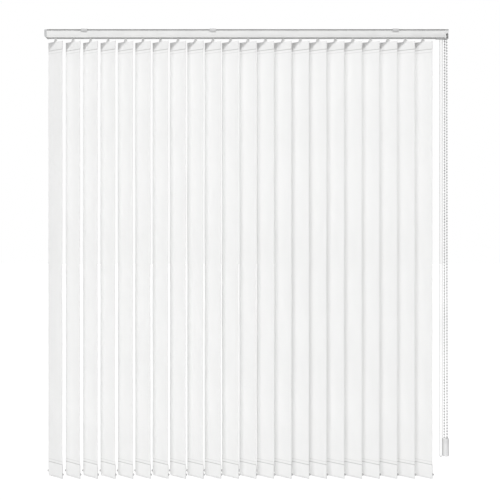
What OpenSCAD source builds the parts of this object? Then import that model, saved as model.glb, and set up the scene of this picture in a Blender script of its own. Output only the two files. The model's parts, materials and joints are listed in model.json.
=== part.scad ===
// Vertical blind: a headrail with a tilt rod and travelling carriers, from which
// fabric vanes hang in a row. A bead chain tilts the vanes and a cord draws them.
// X runs along the rail, -Y faces the room, and the origin is the middle of the middle
// bracket's ceiling face, so that everything hangs below Z = 0.

/* [Vanes] */
// Number of vanes
vane_count = 22; // [6:1:22]
// Spacing of the vanes along the rail when drawn shut
vane_pitch = 73; // [66:0.5:80]
// Width of a vane
vane_w = 89; // [70:1:100]
// Length of a vane from its top fold to its bottom fold
vane_len = 1817; // [600:1:2600]
// Thickness of the vane fabric
fabric_t = 0.6; // [0.4:0.1:0.8]
// Angle of the vanes to the rail as they hang
vane_tilt = 38.5; // [15:0.5:90]
// Gap between the rail and the top of the vanes
vane_gap = 14.5; // [14:0.5:30]

/* [Vane pockets] */
// Height of the top pocket that holds the hanger
top_pocket_h = 32; // [24:1:45]
// Height of the bottom pocket that holds the weight
bottom_pocket_h = 56; // [40:1:70]
// Depth of the welded hem past each pocket
hem_h = 12; // [6:1:18]
// Thickness of the hanger plate
hanger_t = 1.2; // [1:0.1:1.4]
// Width of the hanger neck where it leaves the pocket
neck_base_w = 22; // [16:1:44]
// Width of the hanger neck at its top
neck_top_w = 12; // [10:1:15]
// Height of the hanger neck above the vane
neck_h = 9.5; // [8:0.5:10]
// Thickness of the bottom weight
weight_t = 1.4; // [1:0.1:1.5]
// Height of the bottom weight
weight_h = 46; // [30:1:52]
// Reach of the weight's clips past the edge of the vane
clip_reach = 7; // [5:0.5:9]
// Height of the clips above the bottom of the vane
clip_up = 19; // [19:1:30]
// Width of the slant at a vane's lower left corner
corner_w = 4; // [1:0.5:6]
// Height of that slant
corner_h = 14; // [8:1:14]

/* [Headrail] */
// Depth of the rail, front to back
rail_d = 38; // [32:0.5:46]
// Height of the rail
rail_h = 35; // [31:0.5:40]
// Wall of the rail
rail_wall = 1.4; // [1:0.1:1.8]
// Width of the slot under the rail
slot_w = 16; // [15:0.5:17]
// Height of the upturned edges of the slot
lip_h = 2.2; // [1:0.1:3]
// Height of the bracket grooves near the top of the rail
groove_h = 4.8; // [3.5:0.1:5]
// Depth of the bracket grooves
groove_d = 5.5; // [4:0.1:6]
// Rounding of the outer edges of the rail
rail_round = 2.5; // [2:0.1:4]
// Height of the lower part of the rail's sides, which leans in
lean_h = 12; // [8:0.5:14]
// How far the sides lean in at the bottom
lean_in = 2; // [0.5:0.1:2]
// Rail length left of the first vane
idle_margin = 43; // [40:1:120]
// Rail length right of the last vane
control_margin = 104; // [104:1:200]

/* [Brackets] */
// Thickness of a bracket, which is also the gap from ceiling to rail
bracket_t = 2; // [1.5:0.1:3]
// Width of a bracket along the rail
bracket_w = 26; // [20:1:40]
// Distance of the left bracket from the rail's end
bracket_left = 165; // [60:5:300]
// How far the middle bracket stands left of the rail's middle
bracket_mid = 140; // [-200:5:200]
// Distance of the right bracket from the rail's end
bracket_right = 220; // [60:5:300]
// Radius of the bracket's screw holes
screw_r = 2.3; // [2:0.1:2.6]
// Spacing of the two screw holes
screw_gap = 13; // [11:0.5:15]
// How far the lip that releases a bracket stands out from the rail
release_out = 4.5; // [3:0.1:6]

/* [Carriers] */
// Length of a carrier along the rail
carrier_l = 15.4; // [15.2:0.1:15.6]
// Room between a carrier's body and the rail's wall, where its wheels run
carrier_room = 5.6; // [4.6:0.1:6.6]
// Spacing of the carriers when they are stacked
stack_pitch = 16; // [16:0.5:20]
// Radius of the carrier wheels
wheel_r = 3.4; // [3:0.1:3.6]
// Radius of the stem that turns a vane
stem_r = 3; // [2.5:0.1:3.4]
// Radius of the tilt rod
rod_r = 3.5; // [3:0.1:4]

/* [Controls] */
// Thickness of the idle end cap
idle_cap_t = 10; // [6:0.5:16]
// Diameter of a chain bead
bead_d = 7; // [5:0.25:7.5]
// Spacing of the chain beads
bead_pitch = 12; // [11:0.25:12.5]
// Drop of the chain from the rod to the top of its weight
chain_drop = 1686; // [400:1:2200]
// Diameter of the chain weight
chain_weight_d = 27; // [26:0.5:34]
// Height of the chain weight
chain_weight_h = 74; // [40:1:110]
// Diameter of the draw cord
cord_d = 2.2; // [1.6:0.1:2.6]
// Depth of the draw cord below the top of the rail
cord_drop = 6; // [5.5:0.1:6.5]
// Distance of the draw cord from the middle of the rail
cord_y = 5.4; // [5.2:0.1:6]
// Pitch radius of the two pulleys at the control end
pulley_r = 6; // [5:0.1:6]

/* [Hidden] */
$fn = 48;
eps = 0.01;

// Clearances
run_gap = 0.3;
pin_gap = 0.1;
seat_gap = 0.15;
plug_gap = 0.4;

// How far a cut runs past the face that it opens
over = 1;

// Rail levels
rail_len = idle_margin + (vane_count - 1) * vane_pitch + control_margin;
rail_x0 = bracket_mid - rail_len / 2;
rail_x1 = bracket_mid + rail_len / 2;
rail_top = -bracket_t;
rail_bot = rail_top - rail_h;
floor_z = rail_bot + rail_wall;
rod_z = rail_top - rail_h / 2;
cord_z = rail_top - cord_drop;
crease_z = rail_bot + lean_h;
lean = atan(lean_in / lean_h);
groove_cover = 1.4;
groove_top = rail_top - groove_cover;
wall_y = rail_d / 2 - rail_wall;
inner_y = wall_y - groove_d;

// Arms of a bracket
arm_y = rail_d / 2 + seat_gap;
arm_t = 1.4;
arm_below = 2.4;
arm_low = groove_top - groove_h - arm_below;
tongue_in = 3;
tongue_slack = 1.05;
release_t = 1.4;

// Vane levels and places
vane_top = rail_bot - vane_gap;
vane_bot = vane_top - vane_len;
function vane_x(i) = rail_x0 + idle_margin + (i - 1) * vane_pitch;
function pad(i) = i < 10 ? str("0", i) : str(i);

// Pockets: room for a plate, and the fold's outer radius
pocket_gap = 0.2;
hanger_room = hanger_t + pocket_gap;
weight_room = weight_t + pocket_gap;
hanger_fold_r = hanger_room / 2 + fabric_t;
weight_fold_r = weight_room / 2 + fabric_t;
panel_n = -hanger_room / 2 - fabric_t;
weight_n = panel_n + weight_fold_r;
pocket_close = 3;
hanger_inset = 3;
hanger_lift = 2;
weight_inset = 1.5;
neck_gap = 0.5;
clip_r = 4;
clip_eye_r = 1.6;

// Hook under the carrier
bore_r = rod_r + pin_gap;
boss_drop = 1;
boss_bot = rail_bot - boss_drop;
boss_wall = 3.5;
boss_r = stem_r + boss_wall;
hook_play = 0.6;
hook_bar_top = boss_bot - hook_play;
hook_bar_bot = vane_top + neck_h + hook_play;
hook_gap = hanger_t / 2 + seat_gap;
prong_t = 1.45;
hook_n = hook_gap + prong_t;
hook_w = 7;
eye_r = 2.7;
peg_r = eye_r - pin_gap;
eye_drop = 5;
eye_z = vane_top + neck_h - eye_drop;
prong_below = 0.3;
hook_bot = eye_z - eye_r - prong_below;

// Carrier body
lip_gap = 0.5;
car_bot = floor_z + lip_h + lip_gap;
bore_wall = 0.8;
channel_floor = rod_z + bore_r + bore_wall;
strip_h = 2.5;
strip_t = 0.6;
strip_room = 0.7;
car_top = channel_floor + strip_h + strip_room;
strip_end_gap = 1;
strip_len = vane_pitch - strip_end_gap;
anchor_l = 10;
anchor_t = 1.6;
lane_pitch = 3;
lanes = ceil((strip_len + anchor_l / 2 + strip_end_gap) / stack_pitch);
channel_w = lanes * lane_pitch;
shoulder_wall = 2.5;
car_shoulder = channel_w / 2 + shoulder_wall;
car_bevel = 1;
gear_drop = 2.2;
gear_top = rod_z - bore_r - gear_drop;
gear_room_h = 2.8;
gear_gap = 0.2;
gear_rim = 2.5;
gear_r = stem_r + gear_rim;
wheel_clear = 0.7;
wheel_gap = 0.4;
carrier_w = 2 * (wall_y - carrier_room);
past_lip = slot_w / 2 + rail_wall + run_gap;
wheel_in = max(carrier_w / 2 + wheel_gap, past_lip);
wheel_out = min(wall_y - lean_in - wheel_clear, leaning_foot(wall_y, floor_z, rail_round - rail_wall));
axle_in = min(carrier_w / 2 - car_bevel, past_lip);
wheel_inset = 0.1;
wheel_x = carrier_l / 2 - wheel_r - wheel_inset;
wheel_z = floor_z + run_gap + wheel_r;
axle_r = 0.9;
clamp_wall = 1.4;
clamp_gap = 0.2;
function lane_y(i) = ((i % lanes) - (lanes - 1) / 2) * lane_pitch;

// Chain and sprocket
sprocket_pockets = 5;
pocket_turn = 360 / sprocket_pockets;
bead_r = bead_d / 2;
link_r = 0.9;
chain_r = bead_pitch / 2 / sin(180 / sprocket_pockets);
rear_first_bead = bead_pitch * (ceil(sprocket_pockets / 2) - sprocket_pockets / 2);
chain_play = 0.75;
bead_gap = 0.2;
chain_room = chain_r + bead_r + chain_play;
sprocket_side = 0.5;
sprocket_w = bead_d + 2 * sprocket_side;
cover_t = 2;
chamber_x1 = rail_x1 - cover_t;
chamber_x0 = chamber_x1 - sprocket_w - 2 * plug_gap;
chain_x = (chamber_x0 + chamber_x1) / 2;

// The rear strand is led aside below the wheel, so that the two strands hang next to each other
chain_side = 4.2;
mouth_x0 = chamber_x0 - chain_side;
mouth_x1 = chain_x - chain_side + bead_r + run_gap;
mouth_y = chain_r - bead_r - chain_play;
mouth_top = rod_z - rear_first_bead - bead_r - chain_play;

// Chain weight, between the strands
weight_x = chain_x - chain_side / 2;
weight_top = rod_z - chain_drop;
weight_bore_h = 8;
weight_bore_r = bead_r + plug_gap;
strand_x = 4.4;
strand_y = 6.5;
chain_end_z = weight_top - weight_bore_h;
function wheel_point(a) = [chain_x, chain_r * cos(a), rod_z + chain_r * sin(a)];

// Control housing and the two drops of the draw cord
hood_wall = 1.2;
flange_x0 = mouth_x0 - hood_wall;
profile_x1 = flange_x0;
profile_x0 = rail_x0 + idle_cap_t;
plug_l = 33;
snout_drop = 4;
snout_y = slot_w / 2 - plug_gap;
housing_bot = rail_bot - snout_drop;
plug_top_gap = 0.6;
plug_top = rail_top - rail_wall - plug_top_gap;
plug_lift = 0.2;
plug_bot = car_bot + plug_lift;
plug_y = inner_y - plug_gap;
cord_r = cord_d / 2;
front_drop_in = 34;
rear_drop_in = 22;
front_drop_x = rail_x1 - front_drop_in;
rear_drop_x = rail_x1 - rear_drop_in;
pulley_t = 3;
pulley_flange = 1.2;
pulley_rim = pulley_r + pulley_flange;
idle_pulley_r = cord_y;
idle_pulley_rim = idle_pulley_r + pulley_flange;
idle_pulley_in = 15;
idle_pulley_x = profile_x0 + idle_pulley_in;
idle_pulley_t = 3.4;
axle_pin_r = 1.5;
shelf_top = cord_z - idle_pulley_t / 2 - run_gap;
shelf_t = 2.4;
pulley_room = idle_pulley_rim + 2 * plug_gap;
pin_head = 1.4;

// Idle end cap
cap_drop = 1;
cap_chamfer = idle_cap_t * 0.7;
web_t = 3;
bearing_l = 9;

// The hanging loop of the draw cord: points down the front drop, round and up the rear one
cord_mid_x = (front_drop_x + rear_drop_x) / 2;
cord_half = norm([front_drop_x - rear_drop_x, 2 * cord_y]) / 2;
cord_dir = [rear_drop_x - front_drop_x, 2 * cord_y, 0] / (2 * cord_half);
loop_z = -1775;
cord_levels = [-60, -120, -240, -420, -640, -880, -1120, -1360, -1560, -1700, -1750];
cord_turns = [for (a = [180:22.5:360]) a];
function cord_point(s, z) = [cord_mid_x, 0, z] + cord_dir * s;
cord_route = concat(
    [cord_point(-cord_half, housing_bot)],
    [for (z = cord_levels) cord_point(-cord_half, z)],
    [for (a = cord_turns) cord_point(cord_half * cos(a), loop_z + cord_half * sin(a))],
    [for (k = [len(cord_levels) - 1:-1:0]) cord_point(cord_half, cord_levels[k])],
    [cord_point(cord_half, housing_bot)]
);

// A profile drawn in Y and Z, drawn out along X from x0 to x1
module along_x(x0, x1) {
    translate([x0, 0, 0]) rotate([90, 0, 90]) linear_extrude(x1 - x0) children();
}

// A round bar along X, Y or Z
module bar_x(x0, x1, y, z, r) {
    translate([x0, y, z]) rotate([0, 90, 0]) cylinder(r = r, h = x1 - x0);
}
module bar_y(y0, y1, x, z, r) {
    translate([x, y0, z]) rotate([-90, 0, 0]) cylinder(r = r, h = y1 - y0);
}
module bar_z(z0, z1, x, y, r) {
    translate([x, y, z0]) cylinder(r = r, h = z1 - z0);
}

// A box between two corners
module block(lo, hi) {
    translate(lo) cube(hi - lo);
}

// A flat rectangle between two corners
module field(lo, hi) {
    translate(lo) square(hi - lo);
}

// A rectangle with round corners, between two corners
module round_field(lo, hi, r) {
    field([lo.x + r, lo.y], [hi.x - r, hi.y]);
    field([lo.x, lo.y + r], [hi.x, hi.y - r]);
    for (x = [lo.x + r, hi.x - r], y = [lo.y + r, hi.y - r]) translate([x, y]) circle(r);
}

// Outline of the rail's end, reaching down to the given level
module rail_outline(bottom) {
    round_field([-rail_d / 2, bottom], [rail_d / 2, rail_top], rail_round);
}

// An outline with round corners, whose sides lean in below the rail's crease, and where its
// flat bottom ends
function leaning_foot(half, low, r) = half - (r + (crease_z - low - r) * sin(lean)) / cos(lean);
module leaning_field(half, low, high, r) {
    foot = leaning_foot(half, low, r);
    side = [foot + r * cos(lean), low + r - r * sin(lean)];
    polygon([[half - r, high], [half, high - r], [half, crease_z], side, [foot, low],
             [-foot, low], [-side.x, side.y], [-half, crease_z], [-half, high - r], [r - half, high]]);
    for (s = [-1, 1]) {
        translate([s * (half - r), high - r]) circle(r);
        translate([s * foot, low + r]) circle(r);
    }
}

// Section of the rail: a channel with a slot below, upturned slot edges and bracket grooves
module rail_section() {
    difference() {
        leaning_field(rail_d / 2, rail_bot, rail_top, rail_round);
        difference() {
            leaning_field(wall_y, floor_z, rail_top - rail_wall, rail_round - rail_wall);
            for (s = [-1, 1]) {
                groove_back(s);
                slot_edge(s);
            }
        }
        field([-slot_w / 2, rail_bot - over], [slot_w / 2, floor_z + over]);
        for (s = [-1, 1]) bracket_groove(s);
    }
}
module groove_back(s) {
    y = rail_d / 2 - groove_d - rail_wall;
    mirror([s < 0 ? 1 : 0, 0])
        field([y, groove_top - groove_h - rail_wall], [rail_d / 2 - eps, rail_top - eps]);
}
module slot_edge(s) {
    mirror([s < 0 ? 1 : 0, 0])
        field([slot_w / 2, rail_bot + eps], [slot_w / 2 + rail_wall, floor_z + lip_h]);
}
module bracket_groove(s) {
    mirror([s < 0 ? 1 : 0, 0])
        field([rail_d / 2 - groove_d, groove_top - groove_h], [rail_d / 2 + over, groove_top]);
}
module headrail() {
    color("whitesmoke") along_x(profile_x0, profile_x1) rail_section();
}

// Cap at the far end, with the rod's bearing and the shelf of the return pulley
module idle_end_cap() {
    color("silver") {
        cap_face();
        difference() {
            cap_insert();
            bar_x(profile_x0 + over, idle_pulley_x + idle_pulley_rim + over, 0, rod_z, bore_r);
            bar_z(shelf_top, plug_top + over, idle_pulley_x, 0, pulley_room);
        }
        cap_pin();
    }
}
// Outer face of the cap, a little deeper than the rail, with its lower corner cut off
module cap_face() {
    cap_bot = rail_bot - cap_drop;
    side = cap_chamfer * sqrt(2);
    difference() {
        along_x(rail_x0, profile_x0) rail_outline(cap_bot);
        translate([rail_x0, 0, cap_bot]) rotate([0, 45, 0])
            cube([side, rail_d + 2 * over, side], center = true);
    }
}
// What stands in the rail: a web, the bearing block and the pulley's shelf
module cap_insert() {
    web_x = profile_x0 + web_t;
    shelf_x = idle_pulley_x + idle_pulley_rim;
    block([profile_x0 - eps, -plug_y, plug_bot], [web_x, plug_y, plug_top]);
    block([profile_x0, -snout_y, plug_bot], [web_x + bearing_l, snout_y, shelf_top]);
    block([profile_x0, -idle_pulley_rim, shelf_top - shelf_t], [shelf_x, idle_pulley_rim, shelf_top]);
}
// Pin of the return pulley, with a head that holds the pulley down
module cap_pin() {
    head_z = cord_z + idle_pulley_t / 2 + run_gap;
    bar_z(shelf_top - eps, head_z, idle_pulley_x, 0, axle_pin_r);
    bar_z(head_z - eps, plug_top, idle_pulley_x, 0, axle_pin_r + pin_head);
}

// Housing at the control end: a plug in the rail, a snout through its slot and the chain's hood
module control_housing() {
    plug_x0 = profile_x1 - plug_l;
    color("gainsboro") {
        difference() {
            union() {
                along_x(flange_x0, chamber_x1) rail_outline(housing_bot);
                block([plug_x0, -plug_y, plug_bot], [flange_x0 + eps, plug_y, plug_top]);
                block([plug_x0, -snout_y, housing_bot], [flange_x0 + eps, snout_y, plug_bot + eps]);
            }
            bar_x(plug_x0 - over, chamber_x1, 0, rod_z, bore_r);
            chain_chamber();
            cord_way(front_drop_x, -1);
            cord_way(rear_drop_x, 1);
            strip_relief();
        }
        pulley_axle(front_drop_x - pulley_r, -1);
        pulley_axle(rear_drop_x - pulley_r, 1);
    }
}
// Room for the sprocket and chain: a window for the front strand, open below, and behind it
// a mouth that leads the rear strand aside
module chain_chamber() {
    low = housing_bot - over;
    far = chamber_x1 + over;
    bar_x(chamber_x0, far, 0, rod_z, chain_room);
    block([chamber_x0, -chain_room, mouth_top], [far, chain_room, rod_z]);
    block([chamber_x0, -rail_d / 2 - over, low], [far, mouth_y, rod_z]);
    block([mouth_x0, mouth_y - eps, low], [mouth_x1, chain_room, mouth_top + eps]);
}
// Slot for one pulley, with the way in and the drop of its cord
module cord_way(drop_x, side) {
    x = drop_x - pulley_r;
    y = side * cord_y;
    half = pulley_t / 2 + run_gap;
    reach = pulley_rim + plug_gap + pin_gap;
    high = plug_top + over;
    block([x - reach, y - half, cord_z - pulley_r - reach], [x + reach, y + half, high]);
    block([profile_x1 - plug_l - over, y - half, cord_z - cord_d], [x, y + half, high]);
    bar_z(housing_bot - over, cord_z - pulley_r, drop_x, y, cord_r + run_gap);
}
// Room in the plug for the tip of the last spacer strip when the vanes are stacked
module strip_relief() {
    plug_x0 = profile_x1 - plug_l;
    tip_x = vane_x(vane_count) - stack_pitch + strip_len;
    block([plug_x0 - over, -channel_w / 2, channel_floor],
          [max(plug_x0, tip_x + over), channel_w / 2, plug_top + over]);
}
module pulley_axle(x, side) {
    half = pulley_t / 2 + run_gap + eps;
    bar_y(side * cord_y - half, side * cord_y + half, x, cord_z - pulley_r, axle_pin_r);
}

// Plate that closes the chain's hood
module control_cover() {
    notch_h = 2;
    color("gainsboro") difference() {
        along_x(chamber_x1, rail_x1) rail_outline(housing_bot);
        block([chamber_x1 - over, -chain_room, housing_bot - over],
              [rail_x1 + over, chain_room, housing_bot + notch_h]);
    }
}

// Ceiling clip: a screwed plate whose two arms hook into the rail's grooves
module bracket(x) {
    color("white") difference() {
        along_x(x - bracket_w / 2, x + bracket_w / 2) {
            field([-arm_y - arm_t, rail_top], [arm_y + arm_t, 0]);
            for (s = [0, 1]) mirror([s, 0]) bracket_arm();
            mirror([1, 0]) release_lip();
        }
        for (s = [-1, 1]) bar_z(rail_top - over, over, x + s * screw_gap / 2, 0, screw_r);
    }
}
// Arm down the rail's side, with a tongue that tapers below so that it snaps into the groove
module bracket_arm() {
    tip_y = rail_d / 2 - tongue_in;
    tongue_top = groove_top - seat_gap;
    tongue_h = groove_h - tongue_slack;
    field([arm_y, arm_low], [arm_y + arm_t, rail_top + eps]);
    polygon([[arm_y + eps, tongue_top], [tip_y, tongue_top],
             [tip_y, tongue_top - tongue_h / 2], [arm_y + eps, tongue_top - tongue_h]]);
}
// Lip at the foot of the front arm, pulled to let the rail go
module release_lip() {
    field([arm_y + eps, arm_low], [arm_y + release_out, arm_low + release_t]);
}
module bracket_left_clip() {
    bracket(rail_x0 + bracket_left);
}
module bracket_middle_clip() {
    bracket(0);
}
module bracket_right_clip() {
    bracket(rail_x1 - bracket_right);
}

// Fluted rod that turns every stem
module tilt_rod() {
    flutes = 6;
    flute_r = 0.7;
    seat_in = 2;
    end_gap = 0.6;
    color("silver") along_x(profile_x0 + seat_in, chamber_x1 - end_gap) translate([0, rod_z]) difference() {
        circle(rod_r);
        for (k = [0:flutes - 1]) rotate(k * 360 / flutes) translate([rod_r, 0]) circle(flute_r);
    }
}

// Grooved chain wheel on the rod
module chain_sprocket() {
    hub_gap = 0.05;
    rim_r = chain_r + sprocket_side;
    color("white") translate([chain_x, 0, rod_z]) rotate([0, 90, 0]) rotate_extrude() difference() {
        field([rod_r + hub_gap, -sprocket_w / 2], [rim_r, sprocket_w / 2]);
        translate([chain_r, 0]) circle(bead_r + bead_gap);
    }
}

// Bead chain: over the sprocket and down both strands into the weight
module control_chain() {
    front_end = [weight_x + strand_x, -strand_y, chain_end_z];
    rear_end = [weight_x - strand_x, strand_y, chain_end_z];
    rear_bead = wheel_point(0) - [0, 0, rear_first_bead];
    rear_turn = rear_bead - [chain_side, 0, sqrt(pow(bead_pitch, 2) - pow(chain_side, 2))];
    color("gainsboro") {
        chain_strand(wheel_point(180), front_end);
        chain_strand(rear_turn, rear_end);
        chain_wrap(rear_bead, rear_turn);
    }
}
// Beads on the wheel and below it, and the links from the front strand over them to the rear one
module chain_wrap(rear_bead, rear_turn) {
    on_wheel = [for (a = [180:-pocket_turn:pocket_turn / 2]) wheel_point(a)];
    beads = concat(on_wheel, [rear_bead, rear_turn]);
    for (k = [1:len(beads) - 2]) translate(beads[k]) sphere(bead_r);
    for (k = [0:len(beads) - 2]) aim(beads[k], beads[k + 1])
        cylinder(r = link_r, h = norm(beads[k + 1] - beads[k]));
}
// A straight strand that starts with a bead and runs down to a point
module chain_strand(from, to) {
    length = norm(to - from);
    aim(from, to) rotate_extrude() {
        field([0, 0], [link_r, length]);
        for (h = [0:bead_pitch:length - bead_r]) translate([0, h]) intersection() {
            circle(bead_r);
            field([0, -bead_r], [bead_r, bead_r]);
        }
    }
}
// Stands what points up Z on one point, aimed at another
module aim(from, to) {
    way = to - from;
    translate(from) rotate([0, acos(way.z / norm(way)), atan2(way.y, way.x)]) children();
}

// Turned weight on the chain's loop, with two bores that the strands run into
module chain_weight() {
    top_round = 3;
    foot_round = 1.5;
    r = chain_weight_d / 2;
    color("gainsboro") difference() {
        translate([weight_x, 0, weight_top - chain_weight_h]) rotate_extrude() {
            field([0, 0], [r - top_round, chain_weight_h]);
            field([0, foot_round], [r, chain_weight_h - top_round]);
            field([0, 0], [r - foot_round, foot_round + eps]);
            translate([r - foot_round, foot_round]) quarter(foot_round, -1);
            translate([r - top_round, chain_weight_h - top_round]) quarter(top_round, 1);
        }
        for (s = [-1, 1])
            bar_z(chain_end_z, weight_top + over, weight_x - s * strand_x, s * strand_y, weight_bore_r);
    }
}
// The outer quarter of a round corner, above or below
module quarter(r, up) {
    intersection() {
        circle(r);
        field([0, up > 0 ? 0 : -r], [r, up > 0 ? r : 0]);
    }
}

// Cord inside the rail: round the return pulley, along the rail and over the two pulleys
module traverse_cord() {
    color("white") {
        for (side = [-1, 1]) {
            drop_x = side < 0 ? front_drop_x : rear_drop_x;
            bar_x(idle_pulley_x, drop_x - pulley_r, side * cord_y, cord_z, cord_r);
            translate([drop_x - pulley_r, side * cord_y, cord_z - pulley_r]) rotate([90, 0, 0])
                rotate_extrude(angle = 90) translate([pulley_r, 0]) circle(cord_r);
            bar_z(housing_bot, cord_z - pulley_r, drop_x, side * cord_y, cord_r);
        }
        translate([idle_pulley_x, 0, cord_z]) rotate(90)
            rotate_extrude(angle = 180) translate([idle_pulley_r, 0]) circle(cord_r);
    }
}

// Hanging loop of the draw cord: an eight-sided tube swept along its route
module draw_cord() {
    sides = 8;
    turn = 360 / sides;
    n = len(cord_route);
    flat = cross(cord_dir, [0, 0, 1]);
    points = [for (k = [0:n - 1], a = [0:sides - 1])
        cord_route[k] + cord_r * (flat * cos(a * turn) + cross(cord_tangent(k), flat) * sin(a * turn))];
    walls = [for (k = [0:n - 2], a = [0:sides - 1])
        let (here = k * sides, next = here + sides, b = (a + 1) % sides)
        [here + a, here + b, next + b, next + a]];
    near = [for (a = [sides - 1:-1:0]) a];
    far = [for (a = [0:sides - 1]) (n - 1) * sides + a];
    color("white") polyhedron(points, concat(walls, [near, far]));
}
function cord_tangent(k) =
    let (d = cord_route[min(k + 1, len(cord_route) - 1)] - cord_route[max(k - 1, 0)])
    d / norm(d);

// Grooved pulley about Z, cut round for the cord
module pulley(pitch_r, rim_r, t) {
    rotate_extrude() difference() {
        field([axle_pin_r + pin_gap, -t / 2], [rim_r, t / 2]);
        translate([pitch_r, 0]) circle(cord_r + seat_gap);
        field([pitch_r, -cord_r - seat_gap], [rim_r + over, cord_r + seat_gap]);
    }
}
module return_pulley() {
    color("white") translate([idle_pulley_x, 0, cord_z])
        pulley(idle_pulley_r, idle_pulley_rim, idle_pulley_t);
}
module cord_pulley_front() {
    control_pulley(front_drop_x - pulley_r, -1);
}
module cord_pulley_rear() {
    control_pulley(rear_drop_x - pulley_r, 1);
}
module control_pulley(x, side) {
    color("white") translate([x, side * cord_y, cord_z - pulley_r]) rotate([90, 0, 0])
        pulley(pulley_r, pulley_rim, pulley_t);
}

// Carrier: a wheeled body on the tilt rod, with a boss for the stem and a spacer strip
module carrier(i) {
    color("white") translate([vane_x(i), 0, 0]) {
        difference() {
            union() {
                along_x(-carrier_l / 2, carrier_l / 2) carrier_section();
                bar_z(boss_bot, car_bot + eps, 0, 0, boss_r);
                for (x = [-wheel_x, wheel_x]) carrier_wheels(x);
            }
            bar_x(-carrier_l, carrier_l, 0, rod_z, bore_r);
            bar_z(gear_top - gear_room_h, gear_top, 0, 0, gear_r + run_gap);
            bar_z(boss_bot - over, gear_top, 0, 0, stem_r + pin_gap);
        }
        if (i < vane_count) spacer_strip(lane_y(i));
        if (i == 1) cord_clamp();
    }
}
module carrier_section() {
    h = carrier_w / 2;
    slope_z = rod_z + rod_r;
    difference() {
        polygon([[-h + car_bevel, car_bot], [h - car_bevel, car_bot], [h, car_bot + car_bevel],
                 [h, slope_z], [car_shoulder, car_top], [-car_shoulder, car_top],
                 [-h, slope_z], [-h, car_bot + car_bevel]]);
        field([-channel_w / 2, channel_floor], [channel_w / 2, car_top + over]);
    }
}
module carrier_wheels(x) {
    for (s = [0, 1]) mirror([0, s, 0]) {
        bar_y(axle_in, wheel_in + eps, x, wheel_z, axle_r);
        bar_y(wheel_in, wheel_out, x, wheel_z, wheel_r);
    }
}
// Strip that spaces the next carrier: each stands in its own lane, so that they nest when stacked
module spacer_strip(y) {
    top = channel_floor + strip_h;
    block([-anchor_l / 2, y - anchor_t / 2, channel_floor - eps], [anchor_l / 2, y + anchor_t / 2, top]);
    block([0, y - strip_t / 2, channel_floor + run_gap], [strip_len, y + strip_t / 2, top]);
}
// Arm of the leading carrier that holds the front run of the cord
module cord_clamp() {
    half = 4;
    wall = cord_r + clamp_wall;
    side = min(car_shoulder, inner_y - run_gap);
    difference() {
        block([-half, -side, car_top - eps], [half, wall - cord_y, cord_z + wall]);
        block([-half - over, -channel_w / 2, car_top - over], [half + over, 0, car_top + clamp_gap]);
        bar_x(-half - over, half + over, -cord_y, cord_z, cord_r + run_gap);
    }
}

// Vane with what turns with it: fabric, hanger, hooked stem and bottom weight
module vane(i) {
    translate([vane_x(i), 0, 0]) rotate([0, 0, -vane_tilt]) {
        slat();
        hanger();
        hooked_stem();
        bottom_weight();
    }
}
// Fabric folded back and welded at both ends, with a cut-out in the top fold for the neck
module slat() {
    cut = neck_base_w / 2 + neck_gap;
    deep = 2 * hanger_fold_r;
    color("white") difference() {
        along_x(-vane_w / 2, vane_w / 2) slat_section();
        block([-cut, -deep, vane_top - hanger_fold_r - over], [cut, deep, vane_top + over]);
        plate(weight_n, 2 * deep) lower_corner(0);
    }
}
// What the slant takes off a vane's lower left corner, drawn in the vane's own plane
module lower_corner(inset) {
    edge = inset - vane_w / 2;
    past = over / corner_h * corner_w;
    polygon([[edge - past, vane_bot + corner_h + over], [edge - past, vane_bot - over],
             [edge + corner_w + past, vane_bot - over]]);
}
module slat_section() {
    field([panel_n, vane_bot + weight_fold_r], [panel_n + fabric_t, vane_top - hanger_fold_r]);
    translate([0, vane_top]) pocket(hanger_room, top_pocket_h);
    translate([0, vane_bot]) mirror([0, 1]) pocket(weight_room, bottom_pocket_h);
}
// Fold, flap, weld and hem of a pocket that hangs down from 0
module pocket(room, h) {
    fold_r = room / 2 + fabric_t;
    mid = panel_n + fold_r;
    flap = panel_n + fabric_t + room;
    translate([mid, -fold_r]) difference() {
        circle(fold_r);
        circle(room / 2);
        field([-fold_r - over, -fold_r - over], [fold_r + over, 0]);
    }
    field([panel_n, -fold_r - over], [panel_n + fabric_t, -fold_r + eps]);
    field([flap, -h], [flap + fabric_t, -fold_r + eps]);
    polygon([[flap, -h + eps], [flap + fabric_t, -h + eps],
             [panel_n + 2 * fabric_t, -h - pocket_close], [panel_n + fabric_t, -h - pocket_close]]);
    field([panel_n, -h - pocket_close - hem_h], [panel_n + 2 * fabric_t, -h - pocket_close + eps]);
}
// A flat plate in a vane's pocket, drawn in the vane's own plane
module plate(n, t) {
    translate([0, n, 0]) rotate([90, 0, 0]) translate([0, 0, -t / 2]) linear_extrude(t) children();
}
// Plate in the top pocket, with a tapered neck and an eye
module hanger() {
    top = vane_top - hanger_fold_r;
    half = vane_w / 2 - hanger_inset;
    base = neck_base_w / 2;
    tip = neck_top_w / 2;
    tip_z = vane_top + neck_h;
    color("white") plate(0, hanger_t) difference() {
        union() {
            field([-half, vane_top - top_pocket_h + hanger_lift], [half, top]);
            polygon([[-base, top - eps], [base, top - eps], [base, vane_top],
                     [tip, tip_z], [-tip, tip_z], [-base, vane_top]]);
        }
        translate([0, eye_z]) circle(eye_r);
    }
}
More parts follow.
